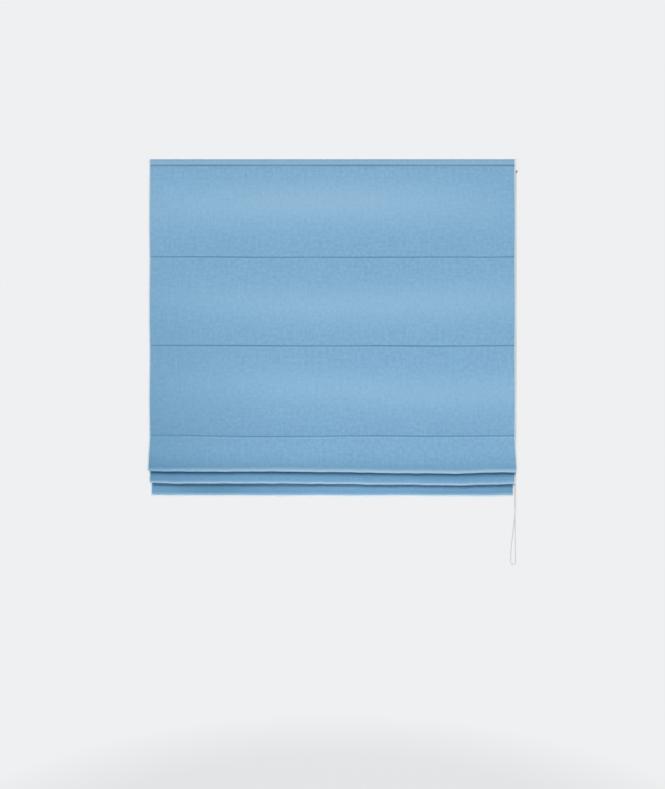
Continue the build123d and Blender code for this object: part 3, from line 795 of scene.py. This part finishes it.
def hem_piece():
    """Face cloth turned up round the bottom bar."""
    front = HEM_FRONT + HEM_ROUND
    back = HEM_BACK - HEM_ROUND
    top = HEM_TOP - HEM_ROUND
    bottom = HEM_BOTTOM + HEM_ROUND
    outer = []
    for cy, cz, start in ((front, top, 90), (front, bottom, 180), (back, bottom, 270), (back, top, 0)):
        for k in range(HEM_BENDS + 1):
            a = math.radians(start + 90 * k / HEM_BENDS)
            outer.append((cy, cz, math.cos(a), math.sin(a)))
        if (cy, cz) == (front, top):
            outer += [(cy, HEM_BOTTOM + rise, -1.0, 0.0) for rise in HEM_ROWS]
    xs = columns(FACE_HALF, COLUMN_STEP)
    points = []
    uvs = []
    for radius in (HEM_ROUND, HEM_ROUND - CLOTH):
        for cy, cz, c, s in outer:
            y = cy + radius * c
            z = cz + radius * s
            for x in xs:
                points.append((x, y, z + smooth_from(HEM_SAG, x)))
                uvs.append((x * MM, (y + z) * MM))
    obj = grid_object("face_hem", points, uvs, len(outer), len(xs), ring=True)
    heights = [cz + HEM_ROUND * s for _, cz, _, s in outer] * 2
    # Painted shade on the hem, and painted light along its bottom edge
    paint(obj, "painted_shade", [hem_shade(x, z) for z in heights for x in xs])
    lit_edge = [max(0.0, 1 - (z - HEM_BOTTOM) / HEM_ROWS[0]) for z in heights]
    paint(obj, "painted_edge_light", [w for w in lit_edge for _ in xs])
    return obj


hem = finish_piece(hem_piece(), FACE, "hem_bar", ["face_fabric"])


LINING_BELOW = 6.2
LINING_LAP = 1.5
LINING_GAP = 0.05
LINING_ROWS = 12


def lining_edge():
    """Lining that comes down behind the hem and shows as a narrow border under it."""
    xs = columns(LINING_HALF, COLUMN_STEP)
    rows = np.linspace(HEM_TOP + LINING_LAP, HEM_BOTTOM - LINING_BELOW, LINING_ROWS)
    front = HEM_BACK + LINING_GAP
    points = []
    uvs = []
    for depth in (front, front + CLOTH):
        for z in rows:
            for x in xs:
                points.append((x, depth, z + smooth_from(HEM_SAG, x)))
                uvs.append((x * MM, z * MM))
    obj = grid_object("lining_hem", points, uvs, len(rows), len(xs))
    finish_piece(obj, LINING_EDGE, "hem_bar", ["lining"])


lining_edge()


# Rod pockets, each a strip of lining folded round its rod and sewn to the back

POCKET_ROUND = 2.95
POCKET_HALF = 544.0
POCKET_TURNS = 22
POCKET_WALL = 0.45
POCKET_MOUTH = 52.0
POCKET_STEP = 9.0
POCKET_SLACK = 0.16
POCKET_WAVES = (0.043, 0.017)
POCKET_SHIFT = 40.0
SEW_REACH = 2.6
SEW_HALF = 0.7


def pocket_outline(centre, towards):
    """Open loop round a rod, from the cloth and back to it; towards is the direction of the cloth."""
    base = math.atan2(towards[1], towards[0])
    loop = []
    for k in range(POCKET_TURNS + 1):
        a = base + math.radians(POCKET_MOUTH + (360 - 2 * POCKET_MOUTH) * k / POCKET_TURNS)
        loop.append((centre[0] + POCKET_ROUND * math.cos(a), centre[1] + POCKET_ROUND * math.sin(a)))
    side = (-towards[1], towards[0])
    foot = []
    for sign in (1, -1):
        foot.append((centre[0] + towards[0] * SEW_REACH + side[0] * sign * SEW_HALF,
                     centre[1] + towards[1] * SEW_REACH + side[1] * sign * SEW_HALF))
    return [foot[0]] + loop + [foot[1]]


def pocket_piece(number):
    """One pocket, a little slack between its sewn edges."""
    centre = RODS[number]
    towards = (-1.0, 0.0) if number < 3 else (0.0, -1.0)
    loop = np.array(pocket_outline(centre, towards))
    tangent = np.gradient(loop, axis=0)
    tangent /= np.linalg.norm(tangent, axis=1)[:, None]
    normal = np.stack([tangent[:, 1], -tangent[:, 0]], axis=1)
    run = np.concatenate([[0.0], np.cumsum(np.linalg.norm(np.diff(loop, axis=0), axis=1))])
    xs = columns(POCKET_HALF, POCKET_STEP)
    wave, slow = POCKET_WAVES
    points = []
    uvs = []
    for off in (POCKET_WALL, -POCKET_WALL):
        for (y, z), (ny, nz), r in zip(loop, normal, run):
            for x in xs:
                slack = POCKET_SLACK * math.sin(x * wave + number) * math.sin(x * slow + 2 * number)
                puff = off + slack * math.sin(math.pi * r / run[-1])
                points.append((x, y + ny * puff, z + nz * puff))
                uvs.append((x * MM, (r + POCKET_SHIFT * number) * MM))
    obj = grid_object(f"pocket_{number + 1}", points, uvs, len(loop), len(xs))
    finish_piece(obj, LINING, ROD_BODIES[number], ["lining"])


for number in range(5):
    pocket_piece(number)


# Stitches

STITCH_PITCH = 4.2
STITCH_LENGTH = 3.1
STITCH_RADIUS = 0.36
STITCH_SIDES = 6
STITCH_EDGE = 3.0
STITCH_SINK = 0.1
THREAD_LEAN = 0.1
THREAD_TURN = 0.0004
# Rings of a stitch: share of its length, share of its thickness, rise above the cloth
STITCH_RINGS = ((-0.5, 0.45, -0.35), (-0.3, 1.0, 0.1), (0.3, 1.0, 0.1), (0.5, 0.45, -0.35))


def skin_rings(faces, base, rings, sides):
    """Faces between rings of points that follow each other, and over both ends."""
    for r in range(rings - 1):
        a = base + r * sides
        b = a + sides
        for k in range(sides):
            n = (k + 1) % sides
            faces.append((a + k, b + k, b + n, a + n))
    last = base + (rings - 1) * sides
    faces.append(tuple(range(base, base + sides)))
    faces.append(tuple(reversed(range(last, last + sides))))


def stitch_row(name, y, z, sags, body):
    """A row of thread stitches that dip into the cloth at both ends and follow its line."""
    points = []
    faces = []
    uvs = []
    half = FACE_HALF - STITCH_EDGE
    for k in range(int(2 * half / STITCH_PITCH)):
        middle = -half + STITCH_PITCH * (k + 0.5)
        height = z + smooth_from(sags, middle)
        base = len(points)
        for share, size, rise in STITCH_RINGS:
            x = middle + share * STITCH_LENGTH
            r = STITCH_RADIUS * size
            for q in range(STITCH_SIDES):
                a = 2 * math.pi * q / STITCH_SIDES
                points.append((x, y - r * math.cos(a) - rise, height + r * math.sin(a)))
                uvs.append(((x + THREAD_LEAN * q) * MM, a * THREAD_TURN))
        skin_rings(faces, base, len(STITCH_RINGS), STITCH_SIDES)
    obj = new_object(name, points, faces, uvs=uvs)
    return finish_piece(obj, THREAD, body)


GROOVE_FLOOR = CLOTH_Y - CLOTH + GROOVE_DEPTH - STITCH_SINK
HEM_STITCHES = (HEM_FRONT - 0.05, HEM_TOP - 3.2)
stitch_row("stitch_head", GROOVE_FLOOR, TAPE_LINE, HEAD_LINE, "head")
for number, (z, sags) in enumerate(zip(SEAMS, STITCH_SAGS), 1):
    row = stitch_row(f"stitch_seam_{number}", GROOVE_FLOOR, z, sags, "head")
    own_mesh(row)
stitch_row("stitch_hem", *HEM_STITCHES, HEM_SAG, "hem_bar")


# Cord rings, each on a tab sewn to its pocket

RING_MIDDLE = 3.55
RING_WIRE = 0.95
RING_BACK = 10.3
# Foot and stem of a ring: half width, depth from and to, half height
RING_BLOCKS = ((4.0, 3.6, 4.6, 2.5), (1.2, 4.6, 6.6, 1.0))
BLOCK_ROUND = 0.45
BLOCK_TAPER = 0.9
BLOCK_BEVEL = 0.2
BLOCK_BENDS = 3


def ring_piece(number):
    """Three rings on one rod, each with its stem and foot."""
    y, z = RODS[number]
    points = []
    faces = []
    around = 28
    sides = 10
    for x in CORD_X:
        base = len(points)
        for i in range(around):
            a = 2 * math.pi * i / around
            for j in range(sides):
                b = 2 * math.pi * j / sides
                r = RING_MIDDLE + RING_WIRE * math.cos(b)
                depth = y + RING_BACK + r * math.sin(a)
                points.append((x + r * math.cos(a), depth, z + RING_WIRE * math.sin(b)))
        for i in range(around):
            here = base + i * sides
            there = base + (i + 1) % around * sides
            for j in range(sides):
                m = (j + 1) % sides
                faces.append((here + j, there + j, there + m, here + m))
        for half_x, y0, y1, half_z in RING_BLOCKS:
            loft_block(points, faces, x, y, z, half_x, y0, y1, half_z)
    obj = new_object(f"cord_ring_set_{number + 1}", points, faces)
    finish_piece(obj, MOULDED, ROD_BODIES[number], [f"cord_rings_{number + 1}"])


def loft_block(points, faces, x, y, z, half_x, y0, y1, half_z):
    """Small block with rounded corners, from depth y0 to y1 behind the rod."""
    corner = min(half_x, half_z) * BLOCK_ROUND
    outline = []
    for cx, cz, start in ((1, 1, 0), (-1, 1, 90), (-1, -1, 180), (1, -1, 270)):
        for k in range(BLOCK_BENDS + 1):
            a = math.radians(start + 90 * k / BLOCK_BENDS)
            across = cx * (half_x - corner) + corner * math.cos(a)
            outline.append((across, cz * (half_z - corner) + corner * math.sin(a)))
    base = len(points)
    levels = ((y0, BLOCK_TAPER), (y0 + BLOCK_BEVEL, 1.0), (y1 - BLOCK_BEVEL, 1.0), (y1, BLOCK_TAPER))
    for depth, scale in levels:
        for ox, oz in outline:
            points.append((x + ox * scale, y + depth, z + oz * scale))
    skin_rings(faces, base, len(levels), len(outline))


for number in range(5):
    ring_piece(number)


# Lines and tubes

def spline_points(name, route, resolution):
    """Points read from a smooth spline that has the route's points as its control points."""
    data = bpy.data.curves.new(name, "CURVE")
    data.dimensions = "3D"
    spline = data.splines.new("NURBS")
    spline.points.add(len(route) - 1)
    for p, c in zip(spline.points, route):
        p.co = (c[0] * MM, c[1] * MM, c[2] * MM, 1)
    spline.order_u = 3
    spline.use_endpoint_u = True
    spline.resolution_u = resolution
    obj = bpy.data.objects.new(name, data)
    show(obj)
    bpy.context.view_layer.update()
    mesh = bpy.data.meshes.new_from_object(obj)
    points = np.array([v.co[:] for v in mesh.vertices]) / MM
    bpy.data.objects.remove(obj)
    bpy.data.meshes.remove(mesh)
    bpy.data.curves.remove(data)
    return points


def spaced(points, pitch, first=0.0):
    """Places every pitch along the points, with the direction there."""
    steps = np.linalg.norm(np.diff(points, axis=0), axis=1)
    along = np.concatenate([[0.0], np.cumsum(steps)])
    count = int((along[-1] - first) / pitch)
    places = []
    for k in range(count + 1):
        d = first + pitch * k
        i = min(int(np.searchsorted(along, d, side="right")) - 1, len(steps) - 1)
        t = (d - along[i]) / steps[i]
        places.append((points[i] * (1 - t) + points[i + 1] * t, (points[i + 1] - points[i]) / steps[i]))
    return places, float(along[-1])


def frame_about(direction):
    """Two directions across a line."""
    side = np.cross(direction, (0.0, 0.31, 0.95) if abs(direction[0]) > 0.9 else (1.0, 0.0, 0.0))
    side = side / np.linalg.norm(side)
    return side, np.cross(direction, side)


def bead_mesh(places, radius, sides=10, rings=6):
    """Round beads, one at each place along the line."""
    points = []
    faces = []
    for centre, direction in places:
        u, v = frame_about(direction)
        base = len(points)
        points.append(centre - direction * radius)
        for r in range(1, rings):
            a = math.pi * r / rings
            for s in range(sides):
                b = 2 * math.pi * s / sides
                arm = u * math.cos(b) + v * math.sin(b)
                points.append(centre - direction * radius * math.cos(a) + arm * radius * math.sin(a))
        points.append(centre + direction * radius)
        last = len(points) - 1
        for s in range(sides):
            n = (s + 1) % sides
            faces.append((base, base + 1 + n, base + 1 + s))
            top = base + 1 + (rings - 2) * sides
            faces.append((last, top + s, top + n))
            for r in range(rings - 2):
                a = base + 1 + r * sides
                faces.append((a + s, a + n, a + sides + n, a + sides + s))
    return points, faces


def tube_mesh(points, radius, sides):
    """Tube with closed ends along the points."""
    verts = []
    uvs = []
    faces = []
    direction = np.gradient(points, axis=0)
    direction /= np.linalg.norm(direction, axis=1)[:, None]
    u, _ = frame_about(direction[0])
    run = 0.0
    for i, (p, d) in enumerate(zip(points, direction)):
        if i:
            run += float(np.linalg.norm(p - points[i - 1]))
        u = u - d * float(u @ d)
        u = u / np.linalg.norm(u)
        v = np.cross(d, u)
        for s in range(sides):
            a = 2 * math.pi * s / sides
            verts.append(p + (u * math.cos(a) + v * math.sin(a)) * radius)
            uvs.append((2 * math.pi * radius * s / sides * MM, run * MM))
    for i in range(len(points) - 1):
        for s in range(sides):
            n = (s + 1) % sides
            a = i * sides
            faces.append((a + s, a + n, a + sides + n, a + sides + s))
    faces.append(tuple(reversed(range(sides))))
    faces.append(tuple(range((len(points) - 1) * sides, len(points) * sides)))
    return verts, faces, uvs


# Lift cords: turns on the drum, then down through the guides to the hem

CORD_RADIUS = 0.7
CORD_SIDES = 10
CORD_FINE = 20
DRUM_TURNS = 6
TURN_POINTS = 12
TURN_RADIUS = 6.99
TURN_PITCH = 1.45
CORD_LEAVES = (-6.8, AXIS_Z)
TURNS_END = AXIS_Z - 0.5
CORD_STOPS = (SEAMS[2], RODS[3][1], RODS[4][1])
CORD_GUIDES = ((-7.2, RODS[3][1]), (1.6, RODS[4][1]), (16.8, -988.3))


def cord_route(x):
    """Turns on the drum, and then the places that the cord runs through."""
    route = []
    for k in range(DRUM_TURNS * TURN_POINTS, 0, -1):
        a = 2 * math.pi * k / TURN_POINTS
        across = x - TURN_PITCH * k / TURN_POINTS
        route.append((across, -TURN_RADIUS * math.cos(a), AXIS_Z + TURN_RADIUS * math.sin(a)))
    route.append((x,) + CORD_LEAVES)
    return route + [(x,) + guide for guide in CORD_GUIDES]


def cut_at(points, height):
    """Two lists of points, above and below a height, that share the point there."""
    i = next(k for k in range(1, len(points)) if max(p[2] for p in points[k:]) < height)
    t = (points[i - 1][2] - height) / (points[i - 1][2] - points[i][2])
    there = points[i - 1] * (1 - t) + points[i] * t
    return np.vstack([points[:i], [there]]), np.vstack([[there], points[i:]])


def cord_piece(name, points, node, body=None):
    verts, faces, uvs = tube_mesh(points, CORD_RADIUS, CORD_SIDES)
    return finish_piece(new_object(name, verts, faces, uvs=uvs), CORD, body, [node])


for number, x in enumerate(CORD_X, 1):
    node = f"lift_cord_{number}"
    turns, rest = cut_at(spline_points(node, cord_route(x), CORD_FINE), TURNS_END)
    upper, rest = cut_at(rest, CORD_STOPS[0])
    middle, rest = cut_at(rest, CORD_STOPS[1])
    lower, tail = cut_at(rest, CORD_STOPS[2])
    cord_piece(f"cord_{number}_turns", turns, node, "head")
    piece = cord_piece(f"cord_{number}_upper", upper, node, "head")
    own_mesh(piece)
    piece = cord_piece(f"cord_{number}_middle", middle, node)
    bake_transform(piece)
    piece = cord_piece(f"cord_{number}_lower", lower, node)
    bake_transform(piece)
    cord_piece(f"cord_{number}_tail", tail, node, "hem_bar")


# Bead chain

CHAIN_X = 553.0
STRAND = 9.549
CHAIN_EXIT = (CHAIN_X, -STRAND, -37.5)
CHAIN_ROUTE = [
    CHAIN_EXIT,
    (CHAIN_X, -STRAND, -64.0),
    (CHAIN_X, -STRAND, -1018.6),
    (549.2, -7.1, -1084.2),
    (542.2, -2.5, -1149.9),
    (538.4, 0.0, -1200.0),
    (538.4, 0.0, -1222.6),
    (553.6, 0.0, -1222.6),
    (553.6, 0.0, -1200.0),
    (553.5, 2.5, -1149.9),
    (553.2, 7.1, -1084.2),
    (CHAIN_X, STRAND, -1018.6),
    (CHAIN_X, STRAND, -64.0),
    (CHAIN_X, STRAND, -37.5),
]
WHEEL_REACH = 9.886
BEAD_RADIUS = 2.15
BEAD_PITCH = 6.0
FIRST_BEAD = 0.6
FIRST_ON_WHEEL = 2.6
STRING_STEP = 3.0
STRING_RADIUS = 0.45
STRING_SIDES = 6
CHAIN_FINE = 40
HOOD_RUN = (-34.6, -24.0)


def bead_piece(name, places):
    obj = new_object(name, *bead_mesh(places, BEAD_RADIUS))
    return finish_piece(obj, BEAD, "head", ["bead_chain"])


chain_path = spline_points("chain_route", CHAIN_ROUTE, CHAIN_FINE)
bead_places, chain_length = spaced(chain_path, BEAD_PITCH, FIRST_BEAD)
chain = bead_piece("chain_beads", bead_places)
string_points, _ = spaced(chain_path, STRING_STEP)
points, faces, uvs = tube_mesh(np.array([p for p, _ in string_points]), STRING_RADIUS, STRING_SIDES)
string = new_object("chain_string", points, faces, uvs=uvs)
finish_piece(string, CORD, "head")
WHEEL_ROUTE = [(CHAIN_X, -STRAND, z) for z in HOOD_RUN]
for degrees in range(165, 0, -30):
    a = math.radians(degrees)
    WHEEL_ROUTE.append((CHAIN_X, WHEEL_REACH * math.cos(a), AXIS_Z + WHEEL_REACH * math.sin(a)))
WHEEL_ROUTE += [(CHAIN_X, STRAND, z) for z in reversed(HOOD_RUN)]
wheel_path = spline_points("wheel_route", WHEEL_ROUTE, CORD_FINE)
wheel_places, _ = spaced(wheel_path, BEAD_PITCH, FIRST_ON_WHEEL)
over_wheel = bead_piece("chain_over_wheel", wheel_places)


# The solids that show as they are
for material, nodes in (
    (RAIL, ["headrail"]),
    (BRACKET, ["bracket_left", "bracket_right"]),
    (TAPE, ["hook_tape", "loop_tape"]),
    (SPRING, ["brake_spring"]),
    (ALUMINIUM, ["drive_shaft", "bottom_bar"]),
    (GLASS_ROD, [f"rod_{number}" for number in range(1, 6)]),
    (MOULDED, [f"spool_cradle_{number}" for number in range(1, 4)]),
    (MOULDED, ["idle_end_cap", "idle_bush", "drive_housing", "chain_guard", "chain_wheel", "brake_core",
               "spring_driver", "cord_spools", "bottom_bar_caps", "cord_adjusters"]),
):
    for node in nodes:
        coat(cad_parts[node], material)


# Camera, floor and light
CAMERA_DISTANCE = 2.95
VIEW_HEIGHT = 2.367
VIEW_MIDDLE = (0.0006, -0.022, -0.709)
SENSOR = 36.0
camera_data = bpy.data.cameras.new("camera")
camera_data.sensor_fit = "VERTICAL"
camera_data.sensor_height = SENSOR
camera_data.lens = SENSOR * CAMERA_DISTANCE / VIEW_HEIGHT
camera = bpy.data.objects.new("camera", camera_data)
camera.location = (VIEW_MIDDLE[0], VIEW_MIDDLE[1] - CAMERA_DISTANCE, VIEW_MIDDLE[2])
camera.rotation_euler = (math.pi / 2, 0, 0)
show(camera)
bpy.context.scene.camera = camera

FLOOR_Z = -2150
FLOOR_REACH = 2700
BACKDROP = (0.86, 0.87, 0.88, 1)
FLOOR_CORNERS = ((-1, -1), (1, -1), (1, 1), (-1, 1))
FLOOR_FADES = (1.6, 2.6)
FLOOR_GLOW = 0.75
floor_points = [(x * FLOOR_REACH, y * FLOOR_REACH, FLOOR_Z) for x, y in FLOOR_CORNERS]
floor = new_object("floor", floor_points, [(0, 1, 2, 3)])
ground = Nodes(bpy.data.materials.new("floor_pale"))
ground.put(ground.shader.inputs, {"Base Color": (0.66, 0.66, 0.66, 1), "Roughness": 0.9})
place = ground.add("ShaderNodeTexCoord").outputs["Object"]
distance = ground.add("ShaderNodeVectorMath", {0: place}, operation="LENGTH").outputs["Value"]
far = ground.math("MAXIMUM", ground.ramp(distance, *FLOOR_FADES), FLOOR_GLOW)
glow = ground.add("ShaderNodeEmission", {"Color": BACKDROP}).outputs[0]
ground.join(ground.math("MULTIPLY", far, ground.seen()), ground.shader.outputs[0], glow, "Material Output")
floor.data.materials.append(ground.owner)


def light(name, kind, place, target, energy, colour):
    """A lamp at a place, turned to a target."""
    data = bpy.data.lights.new(name, kind)
    data.energy = energy
    data.color = colour
    obj = bpy.data.objects.new(name, data)
    obj.location = place
    direction = Vector(target) - obj.location
    obj.rotation_euler = direction.to_track_quat("-Z", "Y").to_euler()
    show(obj)
    return obj


def area_light(name, place, target, size, watts, colour):
    """A broad lamp that doesn't show itself."""
    obj = light(name, "AREA", place, target, watts, colour)
    obj.data.shape = "RECTANGLE"
    obj.data.size, obj.data.size_y = size
    obj.visible_camera = False


WHITE = (1.0, 1.0, 1.0)
KEY_ANGLE = 20.0
key = light("key", "SUN", (-0.5, -2.2, 0.37), (0, 0, -0.5), 2.53, (1.0, 0.99, 0.98))
key.data.angle = math.radians(KEY_ANGLE)
area_light("low", (0.0, -0.12, -2.05), (0, -0.1, -0.9), (1.8, 0.5), 14.0, WHITE)
area_light("back", (0.4, 3.0, 1.0), (0, 0, -0.6), (2.4, 2.0), 40.0, WHITE)

world = bpy.data.worlds.new("pale")
bpy.context.scene.world = world
sky = Nodes(world)
lit = sky.tree.nodes["Background"]
sky.put(lit.inputs, {"Color": (0.9, 0.93, 0.96, 1), "Strength": 0.28})
shown = sky.add("ShaderNodeBackground", {"Color": BACKDROP, "Strength": 1.0})
sky.join(sky.seen(), lit.outputs[0], shown.outputs[0], "World Output")
bpy.context.scene.view_settings.view_transform = "Standard"
